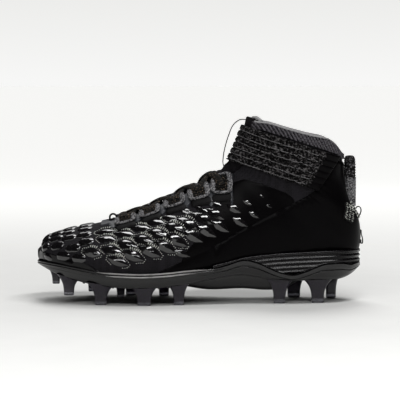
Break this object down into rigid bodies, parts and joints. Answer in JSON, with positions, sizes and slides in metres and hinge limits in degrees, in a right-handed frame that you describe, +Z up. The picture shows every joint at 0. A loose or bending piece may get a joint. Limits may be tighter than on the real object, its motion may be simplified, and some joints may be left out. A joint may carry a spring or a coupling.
{
  "type": "american football cleat",
  "caption": "Mid-cut american football cleat with a scaled upper, an ankle strap, webbing lace loops, a heel pull and a studded moulded plate.",
  "frame": {"origin": "centre of the overall box, on the floor that the studs stand on", "axes": "toe towards -X, lateral side towards -Y, +Z up"},
  "size_m": [0.3052, 0.105, 0.1715],
  "materials": {
    "upper_shell": "glossy raised scales over mesh",
    "quarter_film": "satin film",
    "eyestay_film": "satin film",
    "moulded_plate": "gloss moulded",
    "midsole_foam": "satin foam skin",
    "smoked_stud": "smoky translucent moulded",
    "knit": "ribbed knit",
    "strap_pile": "loop pile",
    "webbing": "heather webbing",
    "lace": "woven",
    "ribbon": "woven ribbon",
    "sockliner": "brushed textile"
  },
  "bodies": {
    "root": {"outsole_plate": "moulded_plate", "midsole": "midsole_foam", "upper": "upper_shell", "heel_quarter": "quarter_film", "toe_bumper": "quarter_film", "eyestay": "eyestay_film", "collar_cuff": "knit", "tongue": "knit", "insole": "sockliner", "ankle_strap": "strap_pile", "laces": "lace", "heel_pull_loop": "webbing", "heel_ribbon_upper": "ribbon", "heel_ribbon_lower": "ribbon", "tongue_ribbon": "ribbon", "lace_loop_lateral_1": "webbing", "lace_loop_lateral_2": "webbing", "lace_loop_lateral_3": "webbing", "lace_loop_lateral_4": "webbing", "lace_loop_lateral_5": "webbing", "lace_loop_medial_1": "webbing", "lace_loop_medial_2": "webbing", "lace_loop_medial_3": "webbing", "lace_loop_medial_4": "webbing", "lace_loop_medial_5": "webbing", "stud_toe": "smoked_stud", "stud_lateral_1": "smoked_stud", "stud_lateral_2": "smoked_stud", "stud_lateral_3": "smoked_stud", "stud_lateral_4": "smoked_stud", "stud_medial_1": "smoked_stud", "stud_medial_2": "smoked_stud", "stud_medial_3": "smoked_stud", "stud_centre": "smoked_stud", "stud_heel_lateral_front": "smoked_stud", "stud_heel_lateral_rear": "smoked_stud", "stud_heel_medial_front": "smoked_stud", "stud_heel_medial_rear": "smoked_stud"}
  },
  "joints": []
}
